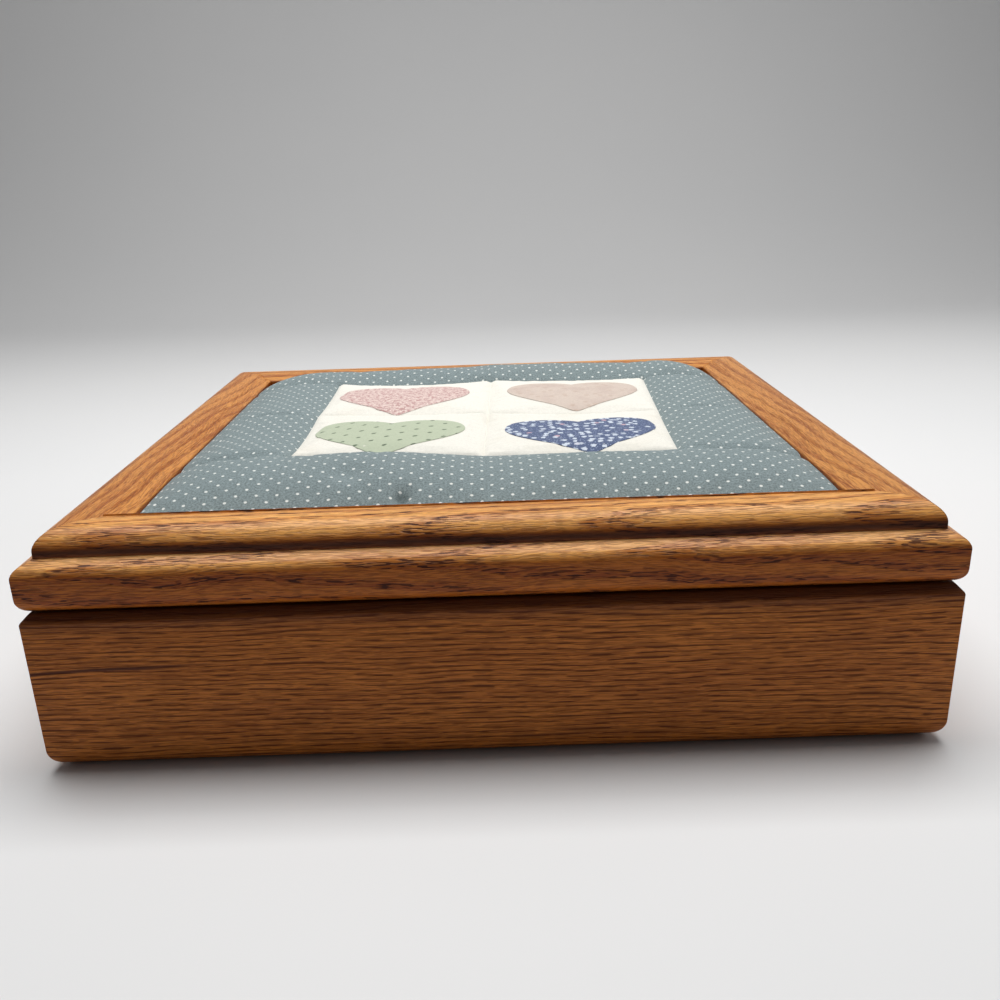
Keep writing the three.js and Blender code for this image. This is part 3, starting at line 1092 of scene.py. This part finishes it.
def borderPrint(turn, shift, marks=()):
    def colouring(look, flat):
        x, y, _ = look.parts(flat)
        angle = math.radians(turn + 45)
        cosine, sine = math.cos(angle), math.sin(angle)
        step = pinDots["pitch"] * mm / math.sqrt(2)
        first = (x * cosine + y * sine + shift * mm) / step
        second = (y * cosine - x * sine) / step
        aside, ahead = ((value.fraction() - 0.5) * step / mm for value in (first, second))
        distance = (aside * aside + ahead * ahead).root()
        dot = distance.smooth(*(pinDots["dot"] + edge for edge in pinDots["edge"]))
        heather = look.noise(flat, scale=1500.0, detail=2.0, roughness=0.8)
        ground = look.blend(heather.smooth(0.3, 0.7), pinDots["ground"], pinDots["fleck"])
        dotted = look.blend(dot * 0.93, ground, pinDots["white"])
        here = [part * 1000.0 for part in look.parts(look.place())] if marks else []
        for across, along, reach, strength in marks:
            away = ((here[0] - across) ** 2.0 + (here[1] - along) ** 2.0).root()
            dotted = look.blend(away.smooth(reach, reach * 0.3) * strength, dotted, pinDots["mark"])
        return dotted, 0.85
    return colouring


def creamPrint(look, flat):
    stainAndShade = look.noise(flat, scale=45.0, detail=3.0)
    cream, aged = colour(0.81, 0.785, 0.71), colour(0.76, 0.71, 0.61)
    return look.blend(stainAndShade.smooth(0.5, 0.75) * 0.35, cream, aged), 0.9


def pinkPrint(look, flat):
    # A small calico: cream ground with crowded pink and rose flecks
    flecks = look.cells(flat, scale=620.0)
    petals = look.noise(flat, scale=520.0, detail=2.0, roughness=0.7)
    ground = look.blend(petals.smooth(0.42, 0.6), colour(0.69, 0.54, 0.495), colour(0.49, 0.285, 0.27))
    return look.blend(flecks.smooth(0.24, 0.12) * 0.8, ground, colour(0.84, 0.76, 0.69)), 0.9


def beigePrint(look, flat):
    sprigs = look.cells(flat, scale=150.0)
    patchy = look.noise(flat, scale=110.0, detail=3.0)
    ground = look.blend(patchy.smooth(0.4, 0.7) * 0.5, colour(0.61, 0.51, 0.44), colour(0.50, 0.38, 0.33))
    return look.blend(sprigs.smooth(0.2, 0.1) * 0.45, ground, colour(0.5, 0.36, 0.28)), 0.9


def greenPrint(look, flat):
    # Dark leaf specks on a staggered lattice over pale sage
    x, y, _ = look.parts(flat)
    step = 9.6 * mm
    first = ((x + y) / step).fraction() - 0.5
    second = ((y - x) / step).fraction() - 0.5
    distance = (first * first + second * second * 2.6).root()
    ragged = look.noise(flat, scale=1300.0, detail=1.0)
    speck = (distance + (ragged - 0.5) * 0.16).smooth(0.19, 0.1)
    faint = look.noise(flat, scale=160.0, detail=2.0)
    ground = look.blend(faint * 0.4, colour(0.48, 0.53, 0.39), colour(0.41, 0.47, 0.34))
    return look.blend(speck * 0.9, ground, colour(0.08, 0.12, 0.07)), 0.9


def navyPrint(look, flat):
    # Crowded little white flowers on navy, with a few pale pink ones
    ragged = look.noise(flat, scale=1500.0, detail=1.0) - 0.5
    flowers = look.cells(flat, scale=330.0) + ragged * 0.5
    which = look.parts(look.cells(flat, scale=330.0, output="Color"))[0]
    buds = look.cells(flat, scale=800.0) + ragged * 0.3
    bloom = flowers.smooth(0.36, 0.26) * which.smooth(0.3, 0.42)
    flowerColour = look.blend(which.smooth(0.93, 0.96), colour(0.66, 0.72, 0.80), colour(0.62, 0.40, 0.44))
    deep, faded = colour(0.045, 0.07, 0.155), colour(0.12, 0.155, 0.265)
    ground = look.blend(look.noise(flat, scale=700.0), deep, faded)
    ground = look.blend(buds.smooth(0.22, 0.12) * 0.6, ground, colour(0.42, 0.50, 0.66))
    return look.blend(bloom * 0.9, ground, flowerColour), 0.88


# How each strip was laid on the printed cloth: turn in degrees and shift in millimetres
borderTurns = {
    "border_front": (0.0, 0.6),
    "border_back": (1.5, 2.1),
    "border_left": (78.0, 1.0),
    "border_right": (102.0, 0.2),
}
for name, (turn, shift) in borderTurns.items():
    marks = smallMarks if name == "border_front" else ()
    paint(cloths[name], cottonLook(f"{name}_cotton", borderPrint(turn, shift, marks)))
cream = cottonLook("cream_cotton", creamPrint)
for name in patches:
    if name.startswith("square"):
        paint(cloths[name], cream)
heartPrints = {"pink": pinkPrint, "beige": beigePrint, "green": greenPrint, "navy": navyPrint}
for name, colouring in heartPrints.items():
    paint(cloths[f"heart_{name}"], cottonLook(f"{name}_cotton", colouring))


def waddingLook():
    look = Look("white_wadding")
    fluff = look.noise(look.place(), scale=700.0, detail=4.0, roughness=0.7)
    white = look.blend(fluff, colour(0.9, 0.89, 0.85), colour(0.74, 0.73, 0.69))
    look.set(Base_Color=white, Roughness=0.95)
    look.set(Normal=look.relief(fluff, 0.8, 0.6 * mm))
    return look.material


def boardLook(name, pale, deep, fibreLong):
    # Thin ply or card: a fibrous flat sheet
    look = Look(name)
    x, y, z = (part * 1000.0 for part in look.parts(look.place()))
    fibre = look.noise(look.vector(x / fibreLong, y / 0.6, z), detail=3.0)
    band = look.noise(look.vector(x / 70.0, y / 9.0, z), detail=2.0)
    look.set(Base_Color=look.blend(fibre * 0.5 + band * 0.5, pale, deep), Roughness=0.72 + fibre * 0.15)
    look.set(Normal=look.relief(fibre, 0.3, 0.1 * mm))
    return look.material


paint(wadding, waddingLook())
plyLook = boardLook("birch_ply", colour(0.60, 0.41, 0.22), colour(0.42, 0.25, 0.12), 12.0)
cardLook = boardLook("mounting_card", colour(0.70, 0.66, 0.57), colour(0.6, 0.55, 0.46), 3.0)
panelLooks = {"box_bottom": plyLook, "lid_backing_panel": plyLook, "lid_mounting_board": cardLook}
for node, material in panelLooks.items():
    paint(frame["nodes"][node], material)
print("materials made")


def cutSize(piece):
    # Width, length and area of the flat cut that the cloth map lays out; both faces of the cloth are in it
    flat = piece.data.uv_layers["cloth"].data
    places = [corner.uv for corner in flat]
    width, length = (max(uv[axis] for uv in places) - min(uv[axis] for uv in places) for axis in (0, 1))
    area = 0.0
    for face in piece.data.polygons:
        first, *others = [flat[loop].uv for loop in face.loop_indices]
        turns = sum((here - first).cross(there - first) for here, there in zip(others, others[1:]))
        area += abs(turns) / 2
    return width, length, area / 2


for piece in cloths.values():
    width, length, area = cutSize(piece)

bodyNames = list(frame["bodies"])
for piece in [*boards.values(), *rails.values(), *cloths.values(), wadding]:
    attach(piece, bodyNames[0])
bpy.data.objects.remove(quilt)


# Studio: a pale floor that sweeps up behind, a large light overhead, one on the sweep and one at each side
studio = {
    "floorSize": 4.0,
    "wallBack": 1.3,
    "wallHigh": 1.8,
    "sweep": 0.5,
    "lights": {
        "overhead": {"place": (0.0, 0.13, 0.85), "size": (1.0, 0.5), "power": 10.6, "aim": (0, 0.03, 0)},
        "backdrop": {"place": (0.0, 0.5, 1.6), "size": (1.6, 0.3), "power": 5.0, "aim": (0, 1.35, 1.1)},
        "left": {"place": (-1.0, 0.1, 0.45), "size": (0.7, 0.7), "power": 0.6, "aim": (0, 0, 0.05)},
        "right": {"place": (1.0, 0.1, 0.45), "size": (0.7, 0.7), "power": 2.0, "aim": (0, 0, 0.05)},
    },
    "sky": 0.08,
}


def addFloor():
    startClean()
    size = studio["floorSize"]
    bpy.ops.mesh.primitive_plane_add(size=size, location=(0, studio["wallBack"] - size / 2, 0))
    floor = bpy.context.object
    floor.name = "studio_floor"
    bpy.ops.object.transform_apply(location=True, rotation=False, scale=False)
    bpy.ops.object.mode_set(mode="EDIT")
    pick("EDGE", lambda middle, edge: near(middle.y, studio["wallBack"], mm))
    bpy.ops.mesh.extrude_region_move(TRANSFORM_OT_translate={"value": (0, 0.05, studio["wallHigh"])})
    pick("EDGE", lambda middle, edge: near(middle.y, studio["wallBack"], mm) and near(middle.z, 0, mm))
    bpy.ops.mesh.bevel(offset=studio["sweep"], segments=16, affect="EDGES")
    bpy.ops.object.mode_set(mode="OBJECT")
    bpy.ops.object.shade_smooth()
    look = Look("pale_floor")
    cloudy = look.noise(look.place(), scale=3.0, detail=2.0)
    pale = look.blend(cloudy, colour(0.72, 0.715, 0.71), colour(0.68, 0.68, 0.68))
    look.set(Base_Color=pale, Roughness=0.6)
    paint(floor, look.material)


def addLight(name, values):
    place = Vector(values["place"])
    bpy.ops.object.light_add(type="AREA", location=place)
    lamp = bpy.context.object
    lamp.name = name
    lamp.data.shape = "RECTANGLE"
    lamp.data.size, lamp.data.size_y = values["size"]
    lamp.data.energy = values["power"]
    lamp.rotation_euler = (Vector(values["aim"]) - place).to_track_quat("-Z", "Y").to_euler()


addFloor()
for name, values in studio["lights"].items():
    addLight(f"{name}_light", values)
sky = bpy.data.worlds.new("soft_sky")
sky.use_nodes = True
sky.node_tree.nodes["Background"].inputs["Color"].default_value = colour(0.93, 0.96, 1.0)
sky.node_tree.nodes["Background"].inputs["Strength"].default_value = studio["sky"]
bpy.context.scene.world = sky
bpy.context.scene.view_settings.view_transform = "Standard"
print("studio lit")
